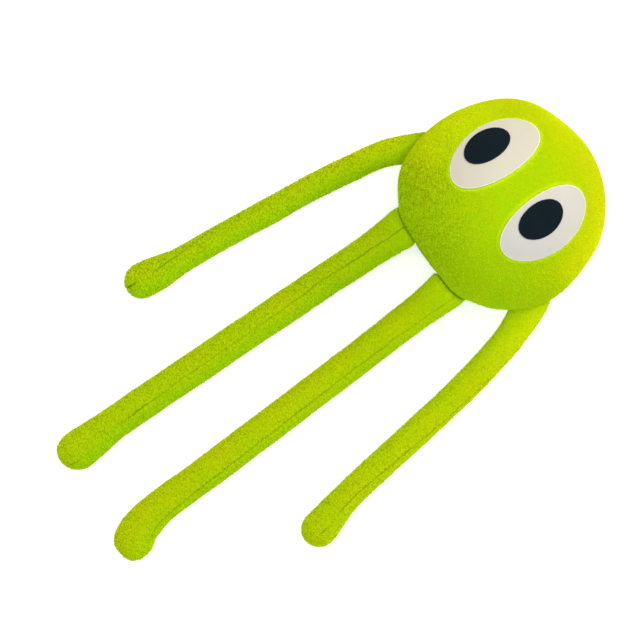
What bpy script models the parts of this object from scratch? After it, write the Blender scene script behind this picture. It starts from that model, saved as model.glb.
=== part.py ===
"""Plush octopus pillow: a stuffed ball of a head with two appliqued eyes and four stuffed limbs.

The pillow lies on its back. +Z is up, out of its face, +Y points to the crown of the head, and the
limbs run towards -Y. The origin is the middle of the flat spot that the head rests on. Metres.
"""

import math

import bmesh
import bpy
from mathutils import Matrix, Vector

# Head: a ball squashed where it lies and flattened at its base, between the two legs.
HEAD_WIDTH = 0.321
HEAD_LENGTH = 0.315
HEAD_DEPTH = 0.300
HEAD_SQUASH = 0.016
BASE_REACH = 0.1425
SQUASH_ROUNDING = 0.006
BASE_ROUNDING = 0.010
HEAD_MERIDIANS = 36
HEAD_RINGS = 18

# Cloth and sewing.
COVER_THICKNESS = 0.0025
STUFFING_GAP = 0.0010
SEAT_GAP = 0.0003
PANEL_SEAM_HEIGHT = 0.088
PANEL_SEAM_GAP = 0.0003
SEAM_DEPTH = 0.0015
SEAM_HALF_WIDTH = 0.004

# Limbs: two long legs and two shorter, thinner arms, each one stuffed tube with a fuller foot.
LEG_WIDTH = 0.053
LEG_FOOT_WIDTH = 0.064
ARM_WIDTH = 0.045
ARM_FOOT_WIDTH = 0.0585
FOOT_TAPER = 0.075
ROOT_FLARE = 0.22
ROOT_FLARE_LENGTH = 0.030
LIMB_SQUASH = 0.002
LIMB_COLUMNS = 14
LIMB_ROW_SPACING = 0.050
FOOT_CAP_ROWS = 4

# Eyes: an oval of white felt with a smaller dark oval on it, both looking to one side.
EYE_LENGTH = 0.1625
EYE_WIDTH = 0.0965
EYE_THICKNESS = 0.0016
EYE_ANGLE = 26.7
EYE_RISE = 9.15
EYE_TILT = 3.8
FACE_TURN = -2.3
PUPIL_LENGTH = 0.079
PUPIL_WIDTH = 0.0555
PUPIL_THICKNESS = 0.0014
PUPIL_SHIFT = 0.0125
PUPIL_DROP = 0.0046
APPLIQUE_GAP = 0.0005
EYE_SPOKES = 24
EYE_RINGS = 4
PUPIL_SPOKES = 20
PUPIL_RINGS = 2

# Each limb's middle line from inside the head to its tip: across, along and raised above its rest.
# Fullness is how tightly the tube is stuffed. Seam turns are pairs of share of length and degrees
# from the top of the tube, positive towards +X.
LIMBS = {
    "left_leg": {
        "width": LEG_WIDTH,
        "foot_width": LEG_FOOT_WIDTH,
        "fullness": 1.0,
        "route": [
            (-0.055, -0.088, 0.064),
            (-0.058, -0.142, 0.061),
            (-0.060, -0.226, 0.036),
            (-0.063, -0.310, 0.004),
            (-0.065, -0.440, 0.000),
            (-0.067, -0.600, 0.000),
            (-0.0675, -0.700, 0.000),
            (-0.0655, -0.760, 0.000),
            (-0.061, -0.7895, 0.000),
        ],
        "seam_turns": [(0.0, 4), (1.0, 24)],
    },
    "right_leg": {
        "width": LEG_WIDTH,
        "foot_width": LEG_FOOT_WIDTH,
        "fullness": 1.0,
        "route": [
            (0.055, -0.088, 0.064),
            (0.059, -0.142, 0.061),
            (0.063, -0.226, 0.036),
            (0.068, -0.310, 0.004),
            (0.073, -0.440, 0.000),
            (0.079, -0.600, 0.000),
            (0.081, -0.699, 0.000),
            (0.090, -0.745, 0.000),
            (0.116, -0.793, 0.000),
        ],
        "seam_turns": [(0.0, 28), (1.0, 48)],
    },
    "left_arm": {
        "width": ARM_WIDTH,
        "foot_width": ARM_FOOT_WIDTH,
        "fullness": 0.96,
        "route": [
            (-0.102, 0.026, 0.068),
            (-0.129, -0.026, 0.067),
            (-0.150, -0.065, 0.062),
            (-0.170, -0.110, 0.050),
            (-0.190, -0.200, 0.014),
            (-0.200, -0.270, 0.001),
            (-0.212, -0.387, 0.000),
            (-0.220, -0.480, 0.000),
            (-0.230, -0.551, 0.000),
        ],
        "seam_turns": [(0.0, -78), (1.0, -8)],
    },
    "right_arm": {
        "width": ARM_WIDTH,
        "foot_width": ARM_FOOT_WIDTH,
        "fullness": 1.04,
        "route": [
            (0.102, 0.026, 0.067),
            (0.133, -0.026, 0.066),
            (0.157, -0.064, 0.061),
            (0.179, -0.109, 0.049),
            (0.202, -0.200, 0.014),
            (0.212, -0.270, 0.001),
            (0.227, -0.387, 0.000),
            (0.244, -0.480, 0.000),
            (0.260, -0.547, 0.000),
        ],
        "seam_turns": [(0.0, 70), (1.0, 20)],
    },
}

HEAD_CENTRE = Vector((0.0, 0.0, HEAD_DEPTH / 2 - HEAD_SQUASH))
HEAD_SEMI_AXES = Vector((HEAD_WIDTH / 2, HEAD_LENGTH / 2, HEAD_DEPTH / 2))


def linear(hex_colour):
    """A colour written as sRGB hex, as the linear numbers that a shader takes."""
    channels = [int(hex_colour[i : i + 2], 16) / 255 for i in (1, 3, 5)]
    powered = [c / 12.92 if c <= 0.04045 else ((c + 0.055) / 1.055) ** 2.4 for c in channels]
    return (*powered, 1.0)


def make_material(name, hex_colour, roughness):
    material = bpy.data.materials.new(name)
    material.use_nodes = True
    shader = material.node_tree.nodes["Principled BSDF"]
    shader.inputs["Base Color"].default_value = linear(hex_colour)
    shader.inputs["Roughness"].default_value = roughness
    shader.inputs["Metallic"].default_value = 0.0
    return material


def smooth_floor(value, floor, rounding):
    """value kept at or above floor, with a rounded edge of that reach where the two meet."""
    if value <= floor - rounding:
        return floor
    if value >= floor + rounding:
        return value
    return floor + (value - floor + rounding) ** 2 / (4 * rounding)


def add_object(name, mesh_data, material, collection):
    obj = bpy.data.objects.new(name, mesh_data)
    mesh_data.materials.append(material)
    collection.objects.link(obj)
    return obj


def mesh_from(bm, name):
    mesh = bpy.data.meshes.new(name)
    bm.to_mesh(mesh)
    bm.free()
    mesh.shade_smooth()
    return mesh


def add_cover_thickness(obj):
    """Turns the sewn outer surface into cloth, thickened inwards."""
    cloth = obj.modifiers.new("cloth", "SOLIDIFY")
    cloth.thickness = COVER_THICKNESS
    cloth.offset = -1
    cloth.use_even_offset = True


def head_bmesh(outward):
    """The head's closed surface, moved outward by this much along its normals, with its panel seam."""
    bm = bmesh.new()
    bmesh.ops.create_uvsphere(bm, u_segments=HEAD_MERIDIANS, v_segments=HEAD_RINGS, radius=1.0)
    for vertex in bm.verts:
        x, y, z = (vertex.co[i] * HEAD_SEMI_AXES[i] + HEAD_CENTRE[i] for i in range(3))
        y = smooth_floor(y, -BASE_REACH, BASE_ROUNDING)
        z = smooth_floor(z, 0.0, SQUASH_ROUNDING)
        vertex.co = (x, y, z)
    for height in (-SEAM_HALF_WIDTH, 0.0, SEAM_HALF_WIDTH):
        bmesh.ops.bisect_plane(
            bm,
            geom=bm.verts[:] + bm.edges[:] + bm.faces[:],
            dist=1e-6,
            plane_co=(0, 0, PANEL_SEAM_HEIGHT + height),
            plane_no=(0, 0, 1),
        )
    for vertex in bm.verts:
        if abs(vertex.co.z - PANEL_SEAM_HEIGHT) < 1e-5:
            inward = Vector((-vertex.co.x, -vertex.co.y, 0)).normalized()
            vertex.co += inward * SEAM_DEPTH
    # The covers, the stuffing and the trimmed roots all follow the same triangles, so their gaps are even.
    bmesh.ops.triangulate(bm, faces=bm.faces[:])
    bm.normal_update()
    moves = [(vertex, vertex.normal * outward) for vertex in bm.verts]
    for vertex, move in moves:
        vertex.co += move
    return bm


def make_head_cutter(collection):
    """The head's outside with the seat gap added, which trims each limb's root to the head."""
    obj = bpy.data.objects.new("head_seat_cutter", mesh_from(head_bmesh(SEAT_GAP), "head_seat_cutter"))
    collection.objects.link(obj)
    obj.hide_render = True
    obj.display_type = "WIRE"
    return obj


def make_head_panel(name, side, material, collection):
    """One half of the head's cover: the part on this side (+1 front, -1 back) of the panel seam."""
    bm = head_bmesh(0.0)
    bmesh.ops.bisect_plane(
        bm,
        geom=bm.verts[:] + bm.edges[:] + bm.faces[:],
        dist=1e-6,
        plane_co=(0, 0, PANEL_SEAM_HEIGHT + side * PANEL_SEAM_GAP / 2),
        plane_no=(0, 0, -side),
        clear_outer=True,
    )
    obj = add_object(name, mesh_from(bm, name), material, collection)
    add_cover_thickness(obj)
    return obj


def make_head_stuffing(name, material, collection):
    bm = head_bmesh(-(COVER_THICKNESS + STUFFING_GAP))
    return add_object(name, mesh_from(bm, name), material, collection)


def curve_through(points, share):
    """The point at this share (0 to 1) of the points' smooth curve, by their own spacing."""
    spans = len(points) - 1
    span = min(int(share * spans), spans - 1)
    t = share * spans - span
    before = points[max(span - 1, 0)]
    start, end = points[span], points[span + 1]
    after = points[min(span + 2, spans)]
    return 0.5 * (
        2 * start
        + (end - before) * t
        + (2 * before - 5 * start + 4 * end - after) * t**2
        + (3 * start - before - 3 * end + after) * t**3
    )


def even_line(points, samples=400):
    """The smooth curve's points and the length along it at each."""
    line = [curve_through(points, i / samples) for i in range(samples + 1)]
    lengths = [0.0]
    for a, b in zip(line, line[1:]):
        lengths.append(lengths[-1] + (b - a).length)
    return line, lengths


def at_length(line, lengths, wanted):
    """The point and direction of the line at this length along it."""
    i = next((k for k in range(1, len(lengths)) if lengths[k] >= wanted), len(lengths) - 1)
    share = (wanted - lengths[i - 1]) / (lengths[i] - lengths[i - 1])
    return line[i - 1].lerp(line[i], share), (line[i] - line[i - 1]).normalized()


def turned_value(pairs, share):
    """The value at this share of the length, eased between the pairs of share and value."""
    for (s0, v0), (s1, v1) in zip(pairs, pairs[1:]):
        if share <= s1:
            t = (share - s0) / (s1 - s0)
            return v0 + (v1 - v0) * t * t * (3 - 2 * t)
    return pairs[-1][1]


def limb_radius(limb, from_root, to_tip):
    """The tube's radius: flared where it is sewn on, even along its length, fuller at the foot, round at the tip."""
    tube = limb["width"] * limb["fullness"] / 2
    foot = limb["foot_width"] / 2
    flare = 1 + ROOT_FLARE * math.exp(-from_root / ROOT_FLARE_LENGTH)
    grown = max(0.0, min(1.0, 1 - (to_tip - foot) / FOOT_TAPER))
    radius = tube * flare + (foot - tube) * grown * grown * (3 - 2 * grown)
    if to_tip >= foot:
        return radius
    return radius * math.sqrt(max(0.0, 1 - (1 - to_tip / foot) ** 2))


def limb_rows(limb, length):
    """Lengths along the limb of its rings: even along the tube, and by equal angles round the tip."""
    foot = limb["foot_width"] / 2
    tube_end = length - foot
    count = round(tube_end / LIMB_ROW_SPACING)
    rows = [tube_end * i / count for i in range(count + 1)]
    for i in range(1, FOOT_CAP_ROWS):
        rows.append(tube_end + foot * math.sin(math.pi / 2 * i / FOOT_CAP_ROWS))
    return rows


def limb_columns(radius):
    """Angles round the tube from the seam, with one column close on each side of it."""
    beside = SEAM_HALF_WIDTH / max(radius, 2 * SEAM_HALF_WIDTH)
    count = LIMB_COLUMNS - 2
    step = (2 * math.pi - 2 * beside) / count
    return [0.0] + [beside + step * i for i in range(count + 1)]


def limb_bmesh(limb, inset):
    """A strip of cloth wrapped round the limb's line and closed at its seam and its tip, inset by this much."""
    foot = limb["foot_width"] / 2
    points = [Vector(p) for p in limb["route"]]
    line, lengths = even_line(points)
    length = lengths[-1]
    root = (points[1] - points[0]).length
    bm = bmesh.new()
    rings = []
    for along in limb_rows(limb, length):
        point, direction = at_length(line, lengths, along)
        outer = limb_radius(limb, max(0.0, along - root), length - along)
        held = limb_radius(limb, max(0.0, along - root), max(foot, length - along))
        centre = point + Vector((0, 0, held - LIMB_SQUASH))
        side = direction.cross(Vector((0, 0, 1))).normalized()
        up = side.cross(direction).normalized()
        # The inset tip ends sooner as well as being thinner.
        centre -= direction * inset * (outer < held)
        turn = math.radians(turned_value(limb["seam_turns"], along / length))
        ring = []
        for column, angle in enumerate(limb_columns(held)):
            radius = outer - inset - (SEAM_DEPTH if column == 0 else 0.0)
            across = math.sin(turn + angle) * -side + math.cos(turn + angle) * up
            place = centre + across * radius
            place.z = max(place.z, inset)
            ring.append(bm.verts.new(place))
        rings.append(ring)
    for ring, following in zip(rings, rings[1:]):
        for a in range(len(ring)):
            b = (a + 1) % len(ring)
            bm.faces.new((ring[a], ring[b], following[b], following[a]))
    tip_point, tip_direction = at_length(line, lengths, length)
    tip = bm.verts.new(tip_point - tip_direction * inset + Vector((0, 0, foot - LIMB_SQUASH)))
    for a in range(len(rings[-1])):
        b = (a + 1) % len(rings[-1])
        bm.faces.new((rings[-1][a], rings[-1][b], tip))
    return bm, rings[0]


def trim_to_head(obj, cutter):
    trim = obj.modifiers.new("sewn_to_head", "BOOLEAN")
    trim.operation = "DIFFERENCE"
    trim.object = cutter


def make_limb_cover(name, limb, cutter, material, collection):
    """The limb's sewn tube, closed at the tip and open where it meets the head."""
    bm, _ = limb_bmesh(limb, 0.0)
    bmesh.ops.recalc_face_normals(bm, faces=bm.faces[:])
    obj = add_object(name, mesh_from(bm, name), material, collection)
    add_cover_thickness(obj)
    trim_to_head(obj, cutter)
    return obj


def make_limb_stuffing(name, limb, cutter, material, collection):
    bm, open_ring = limb_bmesh(limb, COVER_THICKNESS + STUFFING_GAP)
    bm.faces.new(open_ring[::-1])
    bmesh.ops.recalc_face_normals(bm, faces=bm.faces[:])
    obj = add_object(name, mesh_from(bm, name), material, collection)
    trim_to_head(obj, cutter)
    return obj


def face_direction(turn, rise):
    """The direction from the head's centre at these angles: turn towards +X and rise towards the crown."""
    turn, rise = math.radians(turn), math.radians(rise)
    return Vector((math.sin(turn) * math.cos(rise), math.sin(rise), math.cos(turn) * math.cos(rise)))


def on_head(direction, lift):
    """The point of the head's rounded surface in this direction, lifted off it by this much."""
    reach = math.sqrt(sum((direction[i] / HEAD_SEMI_AXES[i]) ** 2 for i in range(3)))
    point = direction / reach
    normal = Vector([point[i] / HEAD_SEMI_AXES[i] ** 2 for i in range(3)]).normalized()
    return HEAD_CENTRE + point + normal * lift


def make_applique(name, side, shift, drop, size, lift, thickness, spokes, rings, material, collection):
    """A flat oval laid on the head without stretching it, its middle moved across and down from the eye's."""
    middle = face_direction(FACE_TURN + side * EYE_ANGLE, EYE_RISE)
    radius = HEAD_WIDTH / 2
    length, width = size
    tilt = Matrix.Rotation(math.radians(-side * EYE_TILT), 3, middle)
    across = tilt @ Vector((0, 1, 0)).cross(middle).normalized()
    along = middle.cross(across)
    bm = bmesh.new()
    bmesh.ops.create_circle(bm, cap_ends=True, cap_tris=True, segments=spokes, radius=1.0)
    centre_spokes = [e for e in bm.edges if min(v.co.length for v in e.verts) < 1e-6]
    bmesh.ops.subdivide_edges(bm, edges=centre_spokes, cuts=rings - 1)
    for vertex in bm.verts:
        flat = vertex.co.x * width / 2 + shift, vertex.co.y * length / 2 - drop
        away = math.hypot(*flat)
        toward = (across * flat[0] + along * flat[1]) / max(away, 1e-9)
        angle = away / radius
        vertex.co = on_head(middle * math.cos(angle) + toward * math.sin(angle), lift)
    bmesh.ops.triangulate(bm, faces=bm.faces[:])
    bmesh.ops.recalc_face_normals(bm, faces=bm.faces[:])
    if sum((f.normal.z for f in bm.faces), 0.0) < 0:
        bmesh.ops.reverse_faces(bm, faces=bm.faces[:])
    obj = add_object(name, mesh_from(bm, name), material, collection)
    felt = obj.modifiers.new("felt", "SOLIDIFY")
    felt.thickness = thickness
    felt.offset = 1
    return obj


def make_eye(side_name, side, white, dark, collection):
    eye_top = APPLIQUE_GAP + EYE_THICKNESS
    make_applique(
        f"{side_name}_eye_white", side, 0.0, 0.0, (EYE_LENGTH, EYE_WIDTH),
        APPLIQUE_GAP, EYE_THICKNESS, EYE_SPOKES, EYE_RINGS, white, collection,
    )
    make_applique(
        f"{side_name}_pupil", side, -PUPIL_SHIFT, PUPIL_DROP, (PUPIL_LENGTH, PUPIL_WIDTH),
        eye_top + APPLIQUE_GAP, PUPIL_THICKNESS, PUPIL_SPOKES, PUPIL_RINGS, dark, collection,
    )


def main():
    for obj in list(bpy.data.objects):
        bpy.data.objects.remove(obj)
    pillow = bpy.data.collections.new("octopus_pillow")
    cutters = bpy.data.collections.new("cutters")
    bpy.context.scene.collection.children.link(pillow)
    bpy.context.scene.collection.children.link(cutters)

    plush = make_material("lime_plush", "#a9cf06", 0.95)
    felt = make_material("white_felt", "#e4dccd", 0.85)
    dark_felt = make_material("dark_felt", "#17262d", 0.7)
    fibre = make_material("polyester_fibre", "#f1f1ee", 1.0)

    cutter = make_head_cutter(cutters)
    make_head_panel("head_front_panel", 1, plush, pillow)
    make_head_panel("head_back_panel", -1, plush, pillow)
    make_head_stuffing("head_stuffing", fibre, pillow)
    for name, limb in LIMBS.items():
        make_limb_cover(f"{name}_cover", limb, cutter, plush, pillow)
        make_limb_stuffing(f"{name}_stuffing", limb, cutter, fibre, pillow)
    make_eye("left", -1, felt, dark_felt, pillow)
    make_eye("right", 1, felt, dark_felt, pillow)


main()
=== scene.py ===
# %% [markdown]
# # A stuffed octopus pillow, seen from straight above
#
# The pillow lies on its back: a ball of a head with two appliqued eyes, two long legs and two shorter arms.
# It was cut from short-pile plush, sewn inside out, turned and stuffed with fibre. What the eye reads is
# the soft form, the nap standing off the cloth, the pulled-in seams and the flat felt of the eyes.
#
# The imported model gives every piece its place. Here each soft solid is replaced by a dense mesh of the
# same form, the nap is planted on it as real tufts, and the cloth gets its colour from shader nodes.

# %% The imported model
import math
from functools import partial

import bmesh
import bpy
import numpy as np
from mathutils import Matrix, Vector, noise


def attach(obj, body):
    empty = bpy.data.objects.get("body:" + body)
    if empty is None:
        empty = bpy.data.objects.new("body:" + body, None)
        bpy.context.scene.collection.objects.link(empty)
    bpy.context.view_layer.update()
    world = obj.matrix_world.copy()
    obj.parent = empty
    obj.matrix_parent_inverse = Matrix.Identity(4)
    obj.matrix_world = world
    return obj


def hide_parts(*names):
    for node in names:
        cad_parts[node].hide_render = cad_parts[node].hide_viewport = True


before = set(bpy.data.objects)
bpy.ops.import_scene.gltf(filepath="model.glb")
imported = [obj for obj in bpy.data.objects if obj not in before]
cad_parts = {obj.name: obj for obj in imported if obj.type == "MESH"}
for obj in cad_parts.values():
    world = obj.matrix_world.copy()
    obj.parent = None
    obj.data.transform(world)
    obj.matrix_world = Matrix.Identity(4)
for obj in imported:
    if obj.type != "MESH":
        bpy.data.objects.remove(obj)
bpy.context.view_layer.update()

# %% [markdown]
# ## Where the camera stands
#
# The photograph was taken from straight above, with the pillow turned so that its crown points up and to
# the right. A camera that looks down needs no aiming: only its place and its roll about its own axis.
# The lens is worked out from how much of the floor the frame shows, which is how a real lens is chosen.

# %% The camera
CAMERA_HEIGHT = 3.4
CAMERA_OVER = (-0.0143, -0.3281)
CROWN_UP_FROM_RIGHT = 35.0
FRAME_WIDTH_ON_FLOOR = 1.016
SENSOR_WIDTH_MM = 36.0


def placed(name, data):
    """A new object in the scene that holds this data."""
    obj = bpy.data.objects.new(name, data)
    bpy.context.scene.collection.objects.link(obj)
    return obj


camera_data = bpy.data.cameras.new("camera")
camera_data.sensor_width = SENSOR_WIDTH_MM
camera_data.lens = SENSOR_WIDTH_MM * CAMERA_HEIGHT / FRAME_WIDTH_ON_FLOOR
camera = placed("camera", camera_data)
camera.location = (*CAMERA_OVER, CAMERA_HEIGHT)
camera.rotation_euler = (0.0, 0.0, math.radians(90.0 - CROWN_UP_FROM_RIGHT))
bpy.context.scene.camera = camera
print(f"lens {camera_data.lens:.1f} mm")

# %% [markdown]
# ## Soft light on a white floor
#
# A product picture of a plush toy is lit by large, soft lamps, so that the nap shows no hard shadows. An
# even world does much of it, and big round lamps give the form its slight modelling: one straight above,
# a warm one over the crown and two faint ones across from it. The floor is white paper. A camera ray sees
# it a little brighter than it is, so that it reads as a white page and still keeps the soft shadow.

# %% Colours, and a helper that adds shader nodes
def linear(hex_colour):
    """An sRGB hex colour as the linear numbers that a shader takes."""
    channels = [int(hex_colour[i : i + 2], 16) / 255 for i in (1, 3, 5)]
    powered = [c / 12.92 if c <= 0.04045 else ((c + 0.055) / 1.055) ** 2.4 for c in channels]
    return (*powered, 1.0)


def add_node(tree, kind, settings=None, inputs=None):
    """Adds a node. Each input is a value, another node's output, or a node whose first output it takes."""
    node = tree.nodes.new(kind)
    for name, value in (settings or {}).items():
        setattr(node, name, value)
    for name, value in (inputs or {}).items():
        socket = node.inputs[name]
        if isinstance(value, bpy.types.Node):
            value = value.outputs[0]
        if isinstance(value, bpy.types.NodeSocket):
            tree.links.new(value, socket)
        else:
            socket.default_value = value
    return node


def emptied(owner):
    """Empties the node tree of a material or a world, and gives the helper that adds nodes to it."""
    owner.use_nodes = True
    owner.node_tree.nodes.clear()
    return partial(add_node, owner.node_tree)


# %% The world, the lamps and the floor
WORLD_STRENGTH = 0.42
LAMPS_AIM = Vector((0.0, -0.3, 0.0))
FLOOR_SIZE = 8.0
FLOOR_CAMERA_GLOW = 0.55


def seen_directly(add):
    """1 for a ray from the camera, or one that comes by way of a gloss or through something clear, else 0."""
    path = add("ShaderNodeLightPath").outputs
    seen = path["Is Camera Ray"]
    for way in ("Is Glossy Ray", "Is Transmission Ray"):
        seen = add("ShaderNodeMath", {"operation": "MAXIMUM"}, {0: seen, 1: path[way]})
    return seen


def make_world():
    world = bpy.data.worlds.new("studio")
    add = emptied(world)
    light = add("ShaderNodeBackground", inputs={"Color": linear("#ffffff"), "Strength": WORLD_STRENGTH})
    page = add("ShaderNodeBackground", inputs={"Color": linear("#ffffff"), "Strength": 1.0})
    mix = add("ShaderNodeMixShader", inputs={0: seen_directly(add), 1: light, 2: page})
    add("ShaderNodeOutputWorld", inputs={"Surface": mix})
    bpy.context.scene.world = world


def add_lamp(name, place, size, watts, hex_colour):
    data = bpy.data.lights.new(name, "AREA")
    data.shape = "DISK"
    data.size = size
    data.energy = watts
    data.color = linear(hex_colour)[:3]
    lamp = placed(name, data)
    lamp.location = place
    lamp.rotation_euler = (LAMPS_AIM - Vector(place)).to_track_quat("-Z", "Y").to_euler()


def make_floor():
    material = bpy.data.materials.new("white_paper")
    add = emptied(material)
    paper = add("ShaderNodeBsdfDiffuse", inputs={"Color": linear("#ececec")})
    glow = add("ShaderNodeEmission", inputs={"Strength": FLOOR_CAMERA_GLOW})
    none = add("ShaderNodeEmission", inputs={"Strength": 0.0})
    shown = add("ShaderNodeMixShader", inputs={0: seen_directly(add), 1: none, 2: glow})
    both = add("ShaderNodeAddShader", inputs={0: paper, 1: shown})
    add("ShaderNodeOutputMaterial", inputs={"Surface": both})
    bm = bmesh.new()
    bmesh.ops.create_grid(bm, x_segments=1, y_segments=1, size=FLOOR_SIZE / 2)
    mesh = bpy.data.meshes.new("floor")
    bm.to_mesh(mesh)
    bm.free()
    mesh.materials.append(material)
    placed("floor", mesh)


make_world()
add_lamp("crown_lamp", (-0.2, 1.75, 2.1), 1.6, 46.0, "#fff2d8")
add_lamp("side_lamp", (2.0, 0.0, 1.2), 1.4, 6.0, "#f0fff2")
add_lamp("foot_lamp", (-0.6, -2.0, 1.2), 1.6, 8.0, "#fbffee")
add_lamp("top_lamp", (0.0, -0.3, 4.2), 1.6, 56.0, "#ffffff")
make_floor()

# %% [markdown]
# ## Cloth: short-pile plush
#
# Plush is a knitted backing with a nap of fine polyester fibres. It has no highlight of its own: light
# that grazes the tips comes back as a soft sheen in the fibre's own colour, and looking straight down
# into the nap shows a deeper, more saturated colour. So the shader is rough, with a tinted sheen, and
# its colour wanders slowly over the surface as the nap lies one way and then another. Light and shade
# are also painted into that colour: painted sheen in gold, painted highlight in pale lime, painted
# shade in deep green, and dark grain that is laid on thicker where shade falls.

# %% The plush materials
NAP_PATCH_MM = 42.0
NAP_WANDER = 0.35
GAP_NOISE = (0.51, 0.38)
HEAD_CLUMP = (2.3, 3.4)
LIMB_CLUMP = (2.5, 1.5)
WALE_TURN = 55.0
# A pale lime mixed in as painted highlight, and a deep green mixed in as painted shade
PAINTED_HIGHLIGHT_LIME = "#d8f600"
PAINTED_SHADE_GREEN = "#4f8a00"


def make_plush(name, green, golden, gap, gap_share, sheen, clump):
    """Polyester plush. Its colour moves between green and golden by random patches and by a per-vertex
    amount that is partly painted sheen, and dark gaps between clumps give it grain, with painted shade in
    them.

    A per-vertex painted highlight mixes in a pale lime, and a per-vertex painted shade mixes in a deep green.
    A clump of tufts is so many millimetres across and is drawn out so many times along the wales.
    """
    material = bpy.data.materials.new(name)
    add = emptied(material)
    place = add("ShaderNodeTexCoord").outputs["Object"]
    patches = add("ShaderNodeTexNoise", inputs={"Vector": place, "Scale": 1000 / NAP_PATCH_MM, "Detail": 3.0})
    wander = add("ShaderNodeMapRange", inputs={
        "Value": patches, "To Min": -NAP_WANDER, "To Max": NAP_WANDER,
    })
    wales = add("ShaderNodeMapping", {"vector_type": "TEXTURE"}, {
        "Vector": place, "Rotation": (0.0, 0.0, math.radians(WALE_TURN)), "Scale": (1.0, clump[1], 1.0),
    })
    clumps = add("ShaderNodeTexNoise", inputs={"Vector": wales, "Scale": 1000 / clump[0], "Detail": 1.0})
    between = add("ShaderNodeMapRange", inputs={
        "Value": clumps, "From Min": GAP_NOISE[0], "From Max": GAP_NOISE[1],
    })
    combed, openness, raised, sunk = (
        add("ShaderNodeAttribute", {"attribute_name": key}).outputs["Fac"]
        for key in ("lie", "openness", "raised", "sunk")
    )
    # The golden mix: random patches, plus a per-vertex amount that is partly painted sheen
    lie = add("ShaderNodeMath", {"operation": "ADD", "use_clamp": True}, {0: wander, 1: combed})
    open_gaps = add("ShaderNodeMath", {"operation": "MULTIPLY"}, {0: between, 1: openness})
    gaps = add("ShaderNodeMath", {"operation": "MULTIPLY"}, {0: open_gaps, 1: gap_share})
    colour = linear(green)
    # Mixed in turn: gold, partly painted sheen; dark gaps, grain with painted shade in it; painted highlight;
    # painted shade
    for amount, shade in ((lie, golden), (gaps, gap), (raised, PAINTED_HIGHLIGHT_LIME), (sunk, PAINTED_SHADE_GREEN)):
        mix = add("ShaderNodeMix", {"data_type": "RGBA"}, {0: amount, 6: colour, 7: linear(shade)})
        colour = mix.outputs[2]
    cloth = add("ShaderNodeBsdfPrincipled", inputs={
        "Base Color": colour,
        "Roughness": 0.95,
        "Specular IOR Level": 0.1,
        "Sheen Weight": sheen,
        "Sheen Roughness": 0.45,
        "Sheen Tint": linear("#ffee00"),
    })
    add("ShaderNodeOutputMaterial", inputs={"Surface": cloth})
    return material


# Green; golden, partly painted sheen; the gaps' dark colour, painted shade between the clumps; its share; the
# sheen
NAP_COLOURS = ("#b2e800", "#dfe200", "#6f8f00", 0.74, 0.55)
head_plush = make_plush("lime_polyester_nap_of_the_head", *NAP_COLOURS, HEAD_CLUMP)
limb_plush = make_plush("lime_polyester_nap_of_the_limbs", *NAP_COLOURS, LIMB_CLUMP)
lime_backing = make_plush("lime_knitted_backing", "#9ac800", "#bcc400", "#7d8a00", 0.62, 0.10, LIMB_CLUMP)

# %% [markdown]
# ## The form of the head
#
# The head is a stuffed ball. Its weight squashes a flat spot where it lies, and its base is drawn flat
# between the legs. A formula gives that form, so that the same function can shape the cloth, lay an eye
# on it and tell where a limb is sewn on.

# %% The head's sizes
HEAD_WIDTH = 0.321
HEAD_LENGTH = 0.315
HEAD_DEPTH = 0.300
HEAD_SQUASH = 0.016
BASE_REACH = 0.1395
BASE_ROUNDING = 0.010
SQUASH_ROUNDING = 0.006
PANEL_SEAM_HEIGHT = 0.088
HEAD_SEMI_AXES = np.array([HEAD_WIDTH, HEAD_LENGTH, HEAD_DEPTH]) / 2
HEAD_CENTRE = np.array([0.0, 0.0, HEAD_DEPTH / 2 - HEAD_SQUASH])


def smooth_floor(values, floor, rounding):
    """Values kept at or above floor, with a rounded edge of that reach where the two meet."""
    lifted = floor + (values - floor + rounding) ** 2 / (4 * rounding)
    return np.where(values <= floor - rounding, floor, np.where(values >= floor + rounding, values, lifted))


def unit(vectors):
    return vectors / np.linalg.norm(vectors, axis=-1, keepdims=True)


def head_normals(points):
    return unit((points - HEAD_CENTRE) / HEAD_SEMI_AXES**2)


# %% Helpers that make and read meshes
def mesh_object(name, vertices, faces, material):
    mesh = bpy.data.meshes.new(name)
    mesh.from_pydata([tuple(v) for v in vertices], [], faces)
    mesh.materials.append(material)
    mesh.shade_smooth()
    return placed(name, mesh)


def closed_grid(points, first, last):
    """Rows of points round a tube as vertices and faces, with a fan to a middle point at either end."""
    rows, columns = points.shape[:2]
    vertices = np.vstack([points.reshape(-1, 3), first, last])
    faces = []
    for c in range(columns):
        d = (c + 1) % columns
        for r in range(rows - 1):
            faces.append((r * columns + c, r * columns + d, (r + 1) * columns + d, (r + 1) * columns + c))
        faces.append((rows * columns, d, c))
        faces.append((rows * columns + 1, (rows - 1) * columns + c, (rows - 1) * columns + d))
    return vertices, faces


def face_outwards(mesh):
    bm = bmesh.new()
    bm.from_mesh(mesh)
    bmesh.ops.recalc_face_normals(bm, faces=bm.faces[:])
    bm.to_mesh(mesh)
    bm.free()


def read_values(items, key, width=3):
    """One property of all of a mesh's items, such as its vertices' places, as rows of numbers."""
    values = np.empty(len(items) * width)
    items.foreach_get(key, values)
    return values.reshape(-1, width)


def store(mesh, name, values):
    """Keeps a number or a direction at each vertex, for shaders and Geometry Nodes to read by this name."""
    values = np.asarray(values, dtype=np.float32)
    kind, key = ("FLOAT", "value") if values.ndim == 1 else ("FLOAT_VECTOR", "vector")
    mesh.attributes.new(name, kind, "POINT").data.foreach_set(key, values.ravel())


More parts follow.
